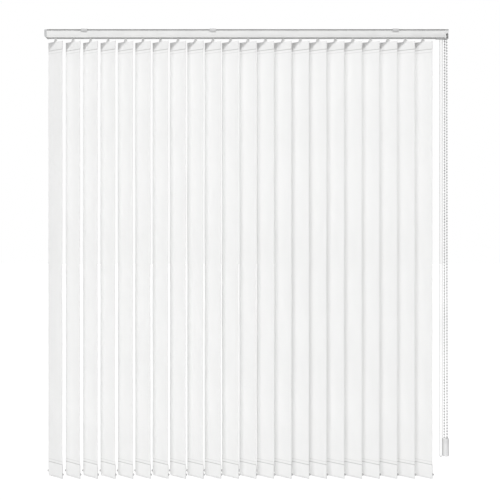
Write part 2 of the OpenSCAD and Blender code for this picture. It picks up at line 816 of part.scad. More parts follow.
// Stem with its gear in the carrier and a forked hook whose peg carries the hanger
module hooked_stem() {
    half = hook_w / 2;
    gear_bot = gear_top - gear_room_h + gear_gap;
    color("white") {
        bar_z(gear_bot, gear_top - gear_gap, 0, 0, gear_r);
        bar_z(hook_bar_top - eps, gear_bot + eps, 0, 0, stem_r);
        block([-half, -hook_n, hook_bar_bot], [half, hook_n, hook_bar_top]);
        for (s = [0, 1]) mirror([0, s, 0])
            block([-half, hook_gap, hook_bot], [half, hook_n, hook_bar_bot + eps]);
        bar_y(-hook_gap - eps, hook_gap + eps, 0, eye_z, peg_r);
    }
}
// Plate in the bottom pocket, with an eyed clip at each edge of the vane
module bottom_weight() {
    half = vane_w / 2 - weight_inset;
    low = vane_bot + weight_fold_r;
    clip_x = vane_w / 2 + clip_reach - clip_r;
    clip_z = vane_bot + clip_up;
    color("silver") plate(weight_n, weight_t) difference() {
        union() {
            field([-half, low], [half, low + weight_h]);
            field([-clip_x, clip_z - clip_r], [clip_x, clip_z + clip_r]);
            for (x = [-clip_x, clip_x]) translate([x, clip_z]) circle(clip_r);
        }
        lower_corner(weight_inset);
        for (x = [-clip_x, clip_x]) translate([x, clip_z]) circle(clip_eye_r);
    }
}

headrail();
idle_end_cap();
control_housing();
control_cover();
bracket_left_clip();
bracket_middle_clip();
bracket_right_clip();
tilt_rod();
chain_sprocket();
control_chain();
chain_weight();
traverse_cord();
draw_cord();
return_pulley();
cord_pulley_front();
cord_pulley_rear();
for (i = [1:vane_count]) {
    carrier(i);
    vane(i);
}
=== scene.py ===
"""Looks of the vertical blind: woven vanes on hooked stems under a coated headrail, a bead chain
with its weight and a draw cord, in a plain white studio. Lengths are in metres."""
import json
import math
import random

import bmesh
import bpy
from mathutils import Matrix, Vector


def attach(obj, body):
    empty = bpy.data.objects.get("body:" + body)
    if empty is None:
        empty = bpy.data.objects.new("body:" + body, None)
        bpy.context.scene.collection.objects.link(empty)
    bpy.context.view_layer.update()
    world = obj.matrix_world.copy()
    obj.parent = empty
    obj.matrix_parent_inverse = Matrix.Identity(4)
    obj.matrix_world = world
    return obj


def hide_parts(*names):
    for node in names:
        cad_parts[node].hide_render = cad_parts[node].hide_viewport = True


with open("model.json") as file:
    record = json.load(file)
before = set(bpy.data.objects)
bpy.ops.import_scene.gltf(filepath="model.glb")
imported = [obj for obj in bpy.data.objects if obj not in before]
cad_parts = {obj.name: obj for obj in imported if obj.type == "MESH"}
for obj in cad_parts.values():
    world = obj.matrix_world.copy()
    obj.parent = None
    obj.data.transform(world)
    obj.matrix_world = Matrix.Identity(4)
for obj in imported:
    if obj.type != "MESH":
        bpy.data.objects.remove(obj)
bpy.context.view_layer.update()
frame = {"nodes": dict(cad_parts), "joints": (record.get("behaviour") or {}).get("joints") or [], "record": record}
MM = 0.001

# Camera: the row of pixels on its level, and the scale of the plane of the vane axes
IMAGE_SIDE = 500
HORIZON_ROW = 206
METRES_PER_PIXEL = 4.175 * MM
CAMERA_DISTANCE = 3.787
CAMERA_X = 154.6 * MM
CAMERA_Z = -737 * MM
SENSOR = 36

# Studio: the floor's glow to the camera at two distances, and each lamp's place, aim, size and power
FLOOR_Z = -2.9
FLOOR_SIDE = 60
FLOOR_GLOW = (0.56, 0.78)
FLOOR_REACH = (3.5, 18)
FLOOR_COLOUR = (0.5, 0.5, 0.5, 1)
WHITE = (1, 1, 1, 1)
AMBIENT = 0.44
LAMPS = [
    ("key", (-0.35, -11.2, 12.6), (0.14, 0, -0.9), 2.2, 1830),
    ("fill", (-1.2, -4.2, -1.7), (0.0, 0, -1.3), 2.2, 50),
    ("back", (1.6, 9.0, 4.5), (0.14, 0, -0.9), 3.0, 190),
]

# Painted shade: levels between which a finish is painted darker, and by how much, for the shade in the
# rail's grooves and at the edges of its slot, and for the shade line that goes on over the hood
RAIL_PAINTED_SHADE = [(-5.2 * MM, -2.1 * MM, 0.5), (-37.5 * MM, -36.7 * MM, 0.6)]
HOOD_PAINTED_SHADE = [(-7.6 * MM, -2.1 * MM, 0.42)]

# Painted and moulded finishes: patches of tone that vary the gloss too, and a fine grain
PATCH_SCALE = 14
PATCH_DETAIL = 4
GLOSS_SPREAD = 0.16
GRAIN_STRENGTH = 0.35
PAINT_GRAIN = 1500
MOULD_GRAIN = 2200
SMOOTH_GRAIN = 1800

# Woven, braided and drawn finishes. A wave texture's phase grows by WAVE_RATE radians for each unit
# of length times its scale
WAVE_RATE = 20
WARP_PITCH = 1.1 * MM
WEFT_PITCH = 1.3 * MM
WEAVE_DEPTH = 0.12 * MM
SLUB_SCALE, SLUB_STRETCH = 260, (1, 1, 0.04)
CLOUD_SCALE, CLOUD_STRETCH = 9, (1, 1, 0.3)
# Painted shade in the pressed creases of the welds and towards the vanes' cut edges
PAINTED_SHADE_TINT = (0.62, 0.62, 0.615, 1)
BRAID_PITCH = 1.2 * MM
BRAID_LEAN = math.radians(32)
BRAID_DEPTH = 0.2 * MM
ROD_LINES, ROD_STRETCH = 900, (0.01, 1, 1)
ROD_DEPTH = 0.03 * MM

# Vane
VANE_COUNT = 22
VANE_TILT = math.radians(38.5)
VANE_W = 89 * MM
VANE_TOP = -51.5 * MM
VANE_LEN = 1817 * MM
VANE_BOT = VANE_TOP - VANE_LEN
FABRIC_T = 0.6 * MM
PANEL_N = -1.0 * MM
TOP_POCKET = 32 * MM
BOTTOM_POCKET = 56 * MM
POCKET_CLOSE = 3 * MM
HEM = 12 * MM
TOP_FOLD = 1.0 * MM
BOTTOM_FOLD = 1.1 * MM
HEM_N = PANEL_N + FABRIC_T + 0.02 * MM
NECK_CUT = 11.5 * MM
NECK_CUT_Z = VANE_TOP - 2.3 * MM
CORNER_W = 4 * MM
CORNER_H = 14 * MM
CORNER_REACH = 20 * MM
FOLD_STEPS = 6

# How the fabric hangs: crowned, swayed where the plates don't hold it, and pressed at the welds
CROWN = 1.1 * MM
BULGE = 0.25 * MM
WELD_DEPTH = 0.3 * MM
WELD_W = 1.6 * MM
SWAY = 0.4 * MM
SWAY_SEED = 7
SWAY_WAVES = 2
FREE_FROM_TOP = (60 * MM, 320 * MM)
FREE_FROM_BOTTOM = (90 * MM, 320 * MM)
POCKET_EASE = 4 * MM
# Painted shade towards the cut edges: its width and strength
EDGE_W = 4 * MM
EDGE_PAINTED_SHADE = 0.16
PANEL_STEP = 45 * MM
WELD_STEP = 0.8 * MM
WELD_REACH = 3.2 * MM
LEAST_STEP = 0.2 * MM
FABRIC_SHARP = 50

# Hanger, hook and bottom weight. EYE_ARC has the two ends of an eye's circle in degrees, and its steps
PLATE_EDGE = 0.25 * MM
SAME_PLACE = 0.005 * MM
EYE_ARC = (0, 345, 23)
HANGER_T = 1.2 * MM
HANGER_HALF = 41.5 * MM
HANGER_LOW = VANE_TOP - 30 * MM
NECK_BASE = 11 * MM
NECK_TIP = 6 * MM
NECK_H = 9.5 * MM
EYE_R = 2.7 * MM
EYE_Z = -47 * MM
HOOK_HALF = 3.5 * MM
HOOK_N = 2.2 * MM
HOOK_GAP = 0.75 * MM
HOOK_BAR = (-41.4 * MM, -38.6 * MM)
HOOK_LOW = -50 * MM
HOOK_EDGE = 0.3 * MM
HOOK_SHARP = 40
PEG_PLAY = 0.1 * MM
STEM_R = 3 * MM
GEAR_R = 5.5 * MM
GEAR = (-27.9 * MM, -25.5 * MM)
WEIGHT_T = 1.4 * MM
WEIGHT_N = 0.1 * MM
WEIGHT_HALF = 43 * MM
WEIGHT_Z = (VANE_BOT + 1.4 * MM, VANE_BOT + 47.4 * MM)
CLIP_X = 47.5 * MM
CLIP_Z = VANE_BOT + 19 * MM
CLIP_R = 4 * MM
CLIP_STEPS = 12
CLIP_EYE_R = 1.6 * MM

# Bead chain
WHEEL_X = 973.6 * MM
WHEEL_Z = -19.5 * MM
WHEEL_R = 10.208 * MM
WHEEL_POCKETS = 5
BEAD_R = 3.5 * MM
BEAD_PITCH = 12 * MM
LINK_R = 0.9 * MM
CHAIN_SIDE = 4.2 * MM
CHAIN_END_Z = -1713.5 * MM
STRAND_X = 4.4 * MM
STRAND_Y = 6.5 * MM
BEAD_SIDES, BEAD_RINGS = 16, 10
LINK_SIDES = 8
CHAIN_SHARP = 60

# Draw cord: its drops, the levels of their points in millimetres, and the turn at the foot
CORD_D = 2.2 * MM
CORD_TOP = -41 * MM
CORD_FRONT = (946 * MM, -5.4 * MM)
CORD_REAR = (958 * MM, 5.4 * MM)
CORD_LEVELS = [-60, -120, -240, -420, -640, -880, -1120, -1360, -1560, -1700, -1750]
CORD_LOOP_Z = -1775 * MM
CORD_TURN_STEPS = 8


# Materials

def new_material(name):
    """A material with its Principled shader and a function that adds a node."""
    material = bpy.data.materials.new(name)
    material.use_nodes = True
    tree = material.node_tree
    shader = tree.nodes["Principled BSDF"]

    def add(kind, **values):
        node = tree.nodes.new(kind)
        for key, value in values.items():
            if hasattr(node, key):
                setattr(node, key, value)
            else:
                node.inputs[key].default_value = value
        return node

    return material, tree.links.new, shader, add


def noise(add, link, coords, scale, detail, stretch=(1, 1, 1)):
    """Noise in the piece's own coordinates, stretched along its axes."""
    mapping = add("ShaderNodeMapping")
    mapping.inputs["Scale"].default_value = stretch
    link(coords, mapping.inputs["Vector"])
    texture = add("ShaderNodeTexNoise", Scale=scale, Detail=detail)
    link(mapping.outputs["Vector"], texture.inputs["Vector"])
    return texture.outputs["Fac"]


def ramp(add, link, value, low, high, span=(0.35, 0.65)):
    """A value as a colour between two."""
    node = add("ShaderNodeValToRGB")
    ends = node.color_ramp.elements
    ends[0].position, ends[1].position = span
    ends[0].color = (*low, 1)
    ends[1].color = (*high, 1)
    link(value, node.inputs["Fac"])
    return node.outputs["Color"]


def math_node(add, link, operation, a, b):
    """Two sockets, or a socket and a number, through one operation."""
    node = add("ShaderNodeMath", operation=operation)
    for socket, value in zip(node.inputs, (a, b)):
        if isinstance(value, (int, float)):
            socket.default_value = value
        else:
            link(value, socket)
    return node.outputs["Value"]


def bump(add, link, shader, height, distance, strength):
    """Gives a shader the relief of a height."""
    node = add("ShaderNodeBump", Strength=strength, Distance=distance)
    link(height, node.inputs["Height"])
    link(node.outputs["Normal"], shader.inputs["Normal"])


def threads(add, link, coords, direction, pitch):
    """Rows of round threads across X or Z."""
    wave = add("ShaderNodeTexWave", wave_type="BANDS", bands_direction=direction)
    wave.inputs["Scale"].default_value = 2 * math.pi / (WAVE_RATE * pitch)
    link(coords, wave.inputs["Vector"])
    return wave.outputs["Fac"]


def fabric_material():
    """White woven polyester: plain weave with slubs, and painted shade at the pressed welds and cut edges."""
    material, link, shader, add = new_material("woven_fabric")
    coords = add("ShaderNodeTexCoord").outputs["Object"]
    warp = threads(add, link, coords, "X", WARP_PITCH)
    weft = threads(add, link, coords, "Z", WEFT_PITCH)
    over = add("ShaderNodeTexChecker", Scale=1 / WARP_PITCH)
    link(coords, over.inputs["Vector"])
    weave = add("ShaderNodeMix", data_type="FLOAT")
    link(over.outputs["Fac"], weave.inputs[0])
    link(warp, weave.inputs[2])
    link(weft, weave.inputs[3])
    slub = noise(add, link, coords, SLUB_SCALE, 2, SLUB_STRETCH)
    height = math_node(add, link, "ADD", weave.outputs[0], slub)
    bump(add, link, shader, height, WEAVE_DEPTH, 0.6)
    cloudy = noise(add, link, coords, CLOUD_SCALE, 3, CLOUD_STRETCH)
    cloth = ramp(add, link, cloudy, (0.855, 0.856, 0.852), (0.885, 0.885, 0.882))
    # Painted shade at the pressed welds and the cut edges, read from the fabric's points
    marks = add("ShaderNodeAttribute", attribute_name="press_and_shade")
    tint = add("ShaderNodeMix", data_type="RGBA", blend_type="MULTIPLY")
    tint.inputs[7].default_value = PAINTED_SHADE_TINT
    link(marks.outputs["Fac"], tint.inputs[0])
    link(cloth, tint.inputs[6])
    link(tint.outputs[2], shader.inputs["Base Color"])
    shader.inputs["Roughness"].default_value = 0.85
    shader.inputs["Sheen Weight"].default_value = 0.12
    shader.inputs["Sheen Roughness"].default_value = 0.5
    shader.inputs["Specular IOR Level"].default_value = 0.25
    return material


def paint_shade_between(add, link, coords, colour, shade_bands):
    """Painted shade: a colour made darker between each pair of levels, by the tone given with them."""
    level = add("ShaderNodeSeparateXYZ")
    link(coords, level.inputs["Vector"])
    for low, high, tone in shade_bands:
        above = math_node(add, link, "GREATER_THAN", level.outputs["Z"], low)
        below = math_node(add, link, "LESS_THAN", level.outputs["Z"], high)
        mix = add("ShaderNodeMix", data_type="RGBA", blend_type="MULTIPLY")
        mix.inputs[7].default_value = (tone, tone, tone, 1)
        link(math_node(add, link, "MULTIPLY", above, below), mix.inputs[0])
        link(colour, mix.inputs[6])
        colour = mix.outputs[2]
    return colour


def coated_material(name, low, high, roughness, grain, depth, shade_bands=()):
    """Painted or moulded surface: fine grain, colour and gloss that vary a little, and any painted shade."""
    material, link, shader, add = new_material(name)
    coords = add("ShaderNodeTexCoord").outputs["Object"]
    patches = noise(add, link, coords, PATCH_SCALE, PATCH_DETAIL)
    colour = paint_shade_between(add, link, coords, ramp(add, link, patches, low, high), shade_bands)
    link(colour, shader.inputs["Base Color"])
    gloss = math_node(add, link, "MULTIPLY", patches, GLOSS_SPREAD)
    link(math_node(add, link, "ADD", gloss, roughness - GLOSS_SPREAD / 2), shader.inputs["Roughness"])
    bump(add, link, shader, noise(add, link, coords, grain, 2), depth, GRAIN_STRENGTH)
    return material


def rod_material():
    """Drawn aluminium, with fine lines along its length."""
    material, link, shader, add = new_material("drawn_aluminium")
    coords = add("ShaderNodeTexCoord").outputs["Object"]
    lines = noise(add, link, coords, ROD_LINES, 2, ROD_STRETCH)
    link(ramp(add, link, lines, (0.56, 0.57, 0.58), (0.72, 0.73, 0.74)),
         shader.inputs["Base Color"])
    shader.inputs["Metallic"].default_value = 1
    shader.inputs["Roughness"].default_value = 0.34
    bump(add, link, shader, lines, ROD_DEPTH, 0.4)
    return material


def cord_material():
    """Braided polyester cord: strands that cross on the slant."""
    material, link, shader, add = new_material("braided_cord")
    coords = add("ShaderNodeTexCoord").outputs["Object"]
    strands = []
    for lean in (1, -1):
        turned = add("ShaderNodeMapping")
        turned.inputs["Rotation"].default_value = (lean * BRAID_LEAN, lean * BRAID_LEAN, 0)
        link(coords, turned.inputs["Vector"])
        strands.append(threads(add, link, turned.outputs["Vector"], "Z", BRAID_PITCH))
    braid = math_node(add, link, "MAXIMUM", *strands)
    link(ramp(add, link, braid, (0.40, 0.40, 0.395), (0.58, 0.58, 0.575), (0.2, 0.9)),
         shader.inputs["Base Color"])
    shader.inputs["Roughness"].default_value = 0.75
    bump(add, link, shader, braid, BRAID_DEPTH, 0.7)
    return material


MATERIALS = {
    # The rail's grey bands are painted shade in its grooves and at the edges of its slot
    "rail_paint": coated_material(
        "rail_coating", (0.72, 0.72, 0.715), (0.76, 0.76, 0.755),
        roughness=0.4, grain=PAINT_GRAIN, depth=0.04 * MM, shade_bands=RAIL_PAINTED_SHADE),
    # The bracket is coloured grey, darker than its own white, as painted shade about its lip
    "bracket_paint": coated_material(
        "bracket_grey_painted_shade", (0.50, 0.50, 0.50), (0.56, 0.56, 0.56),
        roughness=0.4, grain=PAINT_GRAIN, depth=0.04 * MM),
    "cap_plastic": coated_material(
        "cap_moulding", (0.45, 0.455, 0.46), (0.52, 0.525, 0.53),
        roughness=0.45, grain=MOULD_GRAIN, depth=0.05 * MM),
    # The hood's grey band is a painted shade line, going on from the rail's groove
    "control_plastic": coated_material(
        "control_moulding", (0.68, 0.68, 0.68), (0.73, 0.73, 0.73),
        roughness=0.4, grain=MOULD_GRAIN, depth=0.04 * MM, shade_bands=HOOD_PAINTED_SHADE),
    "carrier_plastic": coated_material(
        "carrier_moulding", (0.66, 0.66, 0.65), (0.75, 0.75, 0.74),
        roughness=0.42, grain=MOULD_GRAIN, depth=0.04 * MM),
    "chain_plastic": coated_material(
        "chain_moulding", (0.43, 0.43, 0.43), (0.54, 0.54, 0.54),
        roughness=0.28, grain=SMOOTH_GRAIN, depth=0.02 * MM),
    "weight_plastic": coated_material(
        "weight_moulding", (0.68, 0.68, 0.68), (0.77, 0.77, 0.77),
        roughness=0.35, grain=SMOOTH_GRAIN, depth=0.03 * MM),
    "rod_metal": rod_material(),
    "cord_braid": cord_material(),
    "vane_fabric": fabric_material(),
    "hook_plastic": coated_material(
        "hook_moulding", (0.88, 0.88, 0.875), (0.94, 0.94, 0.935),
        roughness=0.4, grain=MOULD_GRAIN, depth=0.04 * MM),
    "clip_plastic": coated_material(
        "clip_moulding", (0.32, 0.32, 0.32), (0.40, 0.40, 0.40),
        roughness=0.45, grain=MOULD_GRAIN, depth=0.04 * MM),
}


# Shared makers

def place_mesh(name, mesh, material, body, where=Matrix.Identity(4)):
    """A piece in the row frame that rides on a body."""
    piece = bpy.data.objects.new(name, mesh)
    bpy.context.scene.collection.objects.link(piece)
    if not mesh.materials:
        mesh.materials.append(material)
    piece.matrix_world = where
    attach(piece, body)
    return piece


def finish_mesh(work, name, sharp=35):
    """A mesh from bmesh work, smooth except at its sharp edges."""
    bmesh.ops.recalc_face_normals(work, faces=work.faces)
    mesh = bpy.data.meshes.new(name)
    work.to_mesh(mesh)
    work.free()
    mesh.shade_smooth()
    mesh.set_sharp_from_angle(angle=math.radians(sharp))
    return mesh


def made_mesh(holder):
    """The mesh that an object's curve or modifiers make. The object goes."""
    bpy.context.scene.collection.objects.link(holder)
    graph = bpy.context.evaluated_depsgraph_get()
    mesh = bpy.data.meshes.new_from_object(holder.evaluated_get(graph))
    bpy.data.objects.remove(holder)
    return mesh


def arc(centre, radius, start, end, steps):
    """Points along an arc, angles in degrees."""
    angles = [math.radians(start + (end - start) * k / steps) for k in range(steps + 1)]
    return [(centre[0] + radius * math.cos(a), centre[1] + radius * math.sin(a)) for a in angles]


def plate_mesh(name, outlines, thickness):
    """A flat plate in X and Z about Y = 0, with round edges. Outlines after the first are holes."""
    curve = bpy.data.curves.new(name, "CURVE")
    curve.dimensions = "2D"
    curve.fill_mode = "BOTH"
    curve.extrude = thickness / 2 - PLATE_EDGE
    curve.bevel_depth = PLATE_EDGE
    curve.bevel_resolution = 2
    curve.offset = -PLATE_EDGE
    for outline in outlines:
        spline = curve.splines.new("POLY")
        spline.points.add(len(outline) - 1)
        for point, (x, z) in zip(spline.points, outline):
            point.co = (x, z, 0, 1)
        spline.use_cyclic_u = True
    mesh = made_mesh(bpy.data.objects.new(name, curve))
    mesh.transform(Matrix.Rotation(math.pi / 2, 4, "X"))
    work = bmesh.new()
    work.from_mesh(mesh)
    bpy.data.meshes.remove(mesh)
    bmesh.ops.remove_doubles(work, verts=work.verts, dist=SAME_PLACE)
    return finish_mesh(work, name)


# Vanes

def smooth_step(value, low, high):
    """From 0 at one value to 1 at another, level at both."""
    t = min(max((value - low) / (high - low), 0), 1)
    return t * t * (3 - 2 * t)


def fine_rows(start, end, marks):
    """Levels from start down to end: long steps, with fine ones about each mark."""
    levels = {start, end}
    steps = max(1, round((start - end) / PANEL_STEP))
    levels.update(start + (end - start) * k / steps for k in range(steps + 1))
    count = round(WELD_REACH / WELD_STEP)
    levels.update(m + WELD_STEP * k for m in marks for k in range(-count, count + 1))
    kept = sorted((z for z in levels if end <= z <= start), reverse=True)
    return [z for k, z in enumerate(kept) if k == 0 or kept[k - 1] - z > LEAST_STEP]


TOP_WELD = VANE_TOP - TOP_POCKET - POCKET_CLOSE
BOTTOM_WELD = VANE_BOT + BOTTOM_POCKET + POCKET_CLOSE
WELDS = [TOP_WELD, TOP_WELD - HEM, BOTTOM_WELD, BOTTOM_WELD + HEM]
WELD_MARKS = [1.0, 0.35, 1.0, 0.35]


def press_at(z):
    """How far the fabric is pressed in at a level: 1 at a pocket's weld, less at a hem's end."""
    return max(m * math.exp(-((z - w) / WELD_W) ** 2) for w, m in zip(WELDS, WELD_MARKS))


def vane_section():
    """The fabric's middle line as (n, z, front): flap, top fold, panel, bottom fold and flap."""
    top_z = VANE_TOP - TOP_FOLD - FABRIC_T / 2
    low_z = VANE_BOT + BOTTOM_FOLD + FABRIC_T / 2
    low_n = PANEL_N + BOTTOM_FOLD
    top_flap = [(HEM_N, TOP_WELD - HEM), (HEM_N, TOP_WELD - HEM / 2), (HEM_N, TOP_WELD),
                (TOP_FOLD, TOP_WELD + POCKET_CLOSE), (TOP_FOLD, NECK_CUT_Z)]
    back_n = low_n + BOTTOM_FOLD
    low_flap = [(back_n, VANE_BOT + CORNER_H), (back_n, BOTTOM_WELD - POCKET_CLOSE),
                (HEM_N, BOTTOM_WELD), (HEM_N, BOTTOM_WELD + HEM / 2), (HEM_N, BOTTOM_WELD + HEM)]
    levels = [top_z] + fine_rows(NECK_CUT_Z, low_z, WELDS + [VANE_BOT + CORNER_H])
    section = [(*p, 0) for p in top_flap]
    section += [(*p, 0) for p in arc((0, top_z), TOP_FOLD, 0, 180, FOLD_STEPS)[:-1]]
    section += [(PANEL_N, z, 1) for z in levels]
    section += [(*p, 0) for p in arc((low_n, low_z), BOTTOM_FOLD, 180, 360, FOLD_STEPS)[1:]]
    section += [(*p, 0) for p in low_flap]
    return section


# Places of the fabric's points across a vane: the left half in millimetres, and both halves
LEFT_COLUMNS = [-44.5, -43.8, -42, -37, -31, -25, -18, -NECK_CUT / MM, -6, 0]
VANE_COLUMNS = [u * MM for u in LEFT_COLUMNS + [-u for u in LEFT_COLUMNS[-2::-1]]]


def slant(u, z):
    """A place across the vane, drawn in where the lower left corner is cut on the slant."""
    left = -VANE_W / 2
    still = left + CORNER_REACH
    cut = CORNER_W * max(0, 1 - (z - VANE_BOT) / CORNER_H)
    return u + cut * max(0, (still - u) / (still - left))


def vane_mesh(name, draw):
    """One vane's fabric: a strip folded into two pockets, crowned a little between them."""
    section = vane_section()
    lean = draw.uniform(-1, 1) * SWAY
    waves = [(draw.uniform(0.5, 1) * SWAY, draw.uniform(0.5, 1.1), draw.uniform(0, 6.3))
             for _ in range(SWAY_WAVES)]
    work = bmesh.new()
    # A mark on each point for its painted shade
    marks = work.verts.layers.float.new("press_and_shade")
    rows = []
    for n, z, front in section:
        free = smooth_step(VANE_TOP - z, *FREE_FROM_TOP) * smooth_step(z - VANE_BOT, *FREE_FROM_BOTTOM)
        sway = sum(a * math.sin(2 * math.pi * z / w + p) for a, w, p in waves) + lean
        pocket = smooth_step(z, TOP_WELD, TOP_WELD + POCKET_EASE)
        pocket += smooth_step(-z, -BOTTOM_WELD, POCKET_EASE - BOTTOM_WELD)
        # How far the fabric is pressed in here, which also sets its painted shade
        press_and_shade = press_at(z) * front
        row = []
        for u in VANE_COLUMNS:
            share = 1 - (u / (VANE_W / 2)) ** 2
            shift = free * (sway - CROWN * share)
            shift += front * (WELD_DEPTH * press_and_shade - BULGE * pocket * share)
            vert = work.verts.new((slant(u, z), n + shift, z))
            # Painted shade towards the cut edges, added to the painted shade of the welds
            edge_shade = EDGE_PAINTED_SHADE * smooth_step(abs(u), VANE_W / 2 - EDGE_W, VANE_W / 2)
            vert[marks] = min(1, press_and_shade + edge_shade)
            row.append(vert)
        rows.append(row)
    for k in range(len(rows) - 1):
        high = max(section[k][1], section[k + 1][1])
        for j in range(len(VANE_COLUMNS) - 1):
            middle = (VANE_COLUMNS[j] + VANE_COLUMNS[j + 1]) / 2
            if high > NECK_CUT_Z and abs(middle) < NECK_CUT:
                continue
            work.faces.new((rows[k][j], rows[k + 1][j], rows[k + 1][j + 1], rows[k][j + 1]))
    bmesh.ops.delete(work, geom=[v for v in work.verts if not v.link_faces], context="VERTS")
    holder = bpy.data.objects.new(name, finish_mesh(work, name))
    cloth = holder.modifiers.new("cloth", "SOLIDIFY")
    cloth.thickness = FABRIC_T
    cloth.offset = 0
    mesh = made_mesh(holder)
    mesh.set_sharp_from_angle(angle=math.radians(FABRIC_SHARP))
    return mesh


def hanger_mesh():
    """The plate in the top pocket, with its tapered neck and eye."""
    top = VANE_TOP - TOP_FOLD - FABRIC_T / 2
    tip = VANE_TOP + NECK_H
    left = [(-HANGER_HALF, HANGER_LOW), (-HANGER_HALF, top), (-NECK_BASE, top),
            (-NECK_BASE, VANE_TOP), (-NECK_TIP, tip)]
    outline = left + [(-x, z) for x, z in reversed(left)]
    return plate_mesh("hanger", [outline, arc((0, EYE_Z), EYE_R, *EYE_ARC)], HANGER_T)


def weight_mesh():
    """The plate in the bottom pocket, with an eyed clip at each side."""
    low, high = WEIGHT_Z
    side = arc((CLIP_X, CLIP_Z), CLIP_R, -90, 90, CLIP_STEPS)
    right = [(WEIGHT_HALF, CLIP_Z - CLIP_R)] + side
    right += [(WEIGHT_HALF, CLIP_Z + CLIP_R), (WEIGHT_HALF, high)]
    left = [(-x, z) for x, z in reversed(right)]
    left += [(-WEIGHT_HALF, VANE_BOT + CORNER_H), (CORNER_W - WEIGHT_HALF, low)]
    outline = [(WEIGHT_HALF, low)] + right + left
    eyes = [arc((x, CLIP_Z), CLIP_EYE_R, *EYE_ARC) for x in (-CLIP_X, CLIP_X)]
    mesh = plate_mesh("bottom_weight", [outline, *eyes], WEIGHT_T)
    mesh.transform(Matrix.Translation((0, WEIGHT_N, 0)))
    return mesh


def add_block(work, low, high):
    """A box between two corners, added to bmesh work."""
    middle = (Vector(low) + Vector(high)) / 2
    size = Vector(high) - Vector(low)
    where = Matrix.Translation(middle) @ Matrix.Diagonal((*size, 1))
    bmesh.ops.create_cube(work, size=1, matrix=where)


def add_bar(work, start, end, radius, sides=24):
    """A round bar between two points, added to bmesh work."""
    way = Vector(end) - Vector(start)
    turn = way.to_track_quat("Z", "Y").to_matrix().to_4x4()
    where = Matrix.Translation((Vector(start) + Vector(end)) / 2) @ turn
    bmesh.ops.create_cone(work, cap_ends=True, segments=sides, radius1=radius, radius2=radius,
                          depth=way.length, matrix=where)


def hook_mesh():
    """The stem with its gear, and the fork whose peg holds the hanger."""
    work = bmesh.new()
    add_bar(work, (0, 0, GEAR[0]), (0, 0, GEAR[1]), GEAR_R)
    add_bar(work, (0, 0, HOOK_BAR[1]), (0, 0, GEAR[0]), STEM_R)
    add_block(work, (-HOOK_HALF, -HOOK_N, HOOK_BAR[0]), (HOOK_HALF, HOOK_N, HOOK_BAR[1]))
    for side in (-1, 1):
        near, far = sorted((side * HOOK_GAP, side * HOOK_N))
        add_block(work, (-HOOK_HALF, near, HOOK_LOW), (HOOK_HALF, far, HOOK_BAR[0]))
    add_bar(work, (0, -HOOK_GAP, EYE_Z), (0, HOOK_GAP, EYE_Z), EYE_R - PEG_PLAY)
    corners = [e for e in work.edges if e.calc_face_angle(0) > math.radians(HOOK_SHARP)]
    bmesh.ops.bevel(work, geom=corners, offset=HOOK_EDGE, segments=2, affect="EDGES",
                    clamp_overlap=True)
    return finish_mesh(work, "hook", HOOK_SHARP)


def make_vanes():
    """Every vane's fabric, hanger, hook and weight, turned about its stem as it hangs."""
    hanger, hook, weight = hanger_mesh(), hook_mesh(), weight_mesh()
    draw = random.Random(SWAY_SEED)
    tilts = [j for j in frame["joints"] if j["name"].startswith("vane_tilt")]
    stems = {j["child"]: j["pos_m"][0] for j in tilts}
    for i in range(1, VANE_COUNT + 1):
        body = f"vane_{i:02d}"
        where = Matrix.Translation((stems[body], 0, 0)) @ Matrix.Rotation(-VANE_TILT, 4, "Z")
        fabric = place_mesh(f"fabric_{i:02d}", vane_mesh(f"fabric_{i:02d}", draw),
                            MATERIALS["vane_fabric"], body, where)
        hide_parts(body)
        place_mesh(f"hanger_{i:02d}", hanger, MATERIALS["hook_plastic"], body, where)
        place_mesh(f"hook_{i:02d}", hook, MATERIALS["hook_plastic"], body, where)
        place_mesh(f"bottom_weight_{i:02d}", weight, MATERIALS["clip_plastic"], body, where)


# Controls

def copies_mesh(name, copies):
    """One mesh of many placed copies of a few shapes."""
    points, faces = [], []
    for shape, where in copies:
        base = len(points)
        points += [where @ v.co for v in shape.verts]
        faces += [[base + v.index for v in f.verts] for f in shape.faces]
    mesh = bpy.data.meshes.new(name)
    mesh.from_pydata(points, [], faces)
    mesh.shade_smooth()
    mesh.set_sharp_from_angle(angle=math.radians(CHAIN_SHARP))
    return mesh


def wheel_point(degrees):
    """A place on the chain's circle round the wheel."""
    turn = math.radians(degrees)
    return Vector((WHEEL_X, WHEEL_R * math.cos(turn), WHEEL_Z + WHEEL_R * math.sin(turn)))


def beads_down(start, end):
    """Places of the beads from a strand's first bead down to its end."""
    way = end - start
    count = int((way.length - BEAD_R) // BEAD_PITCH)
    return [start + way.normalized() * BEAD_PITCH * k for k in range(count + 1)]


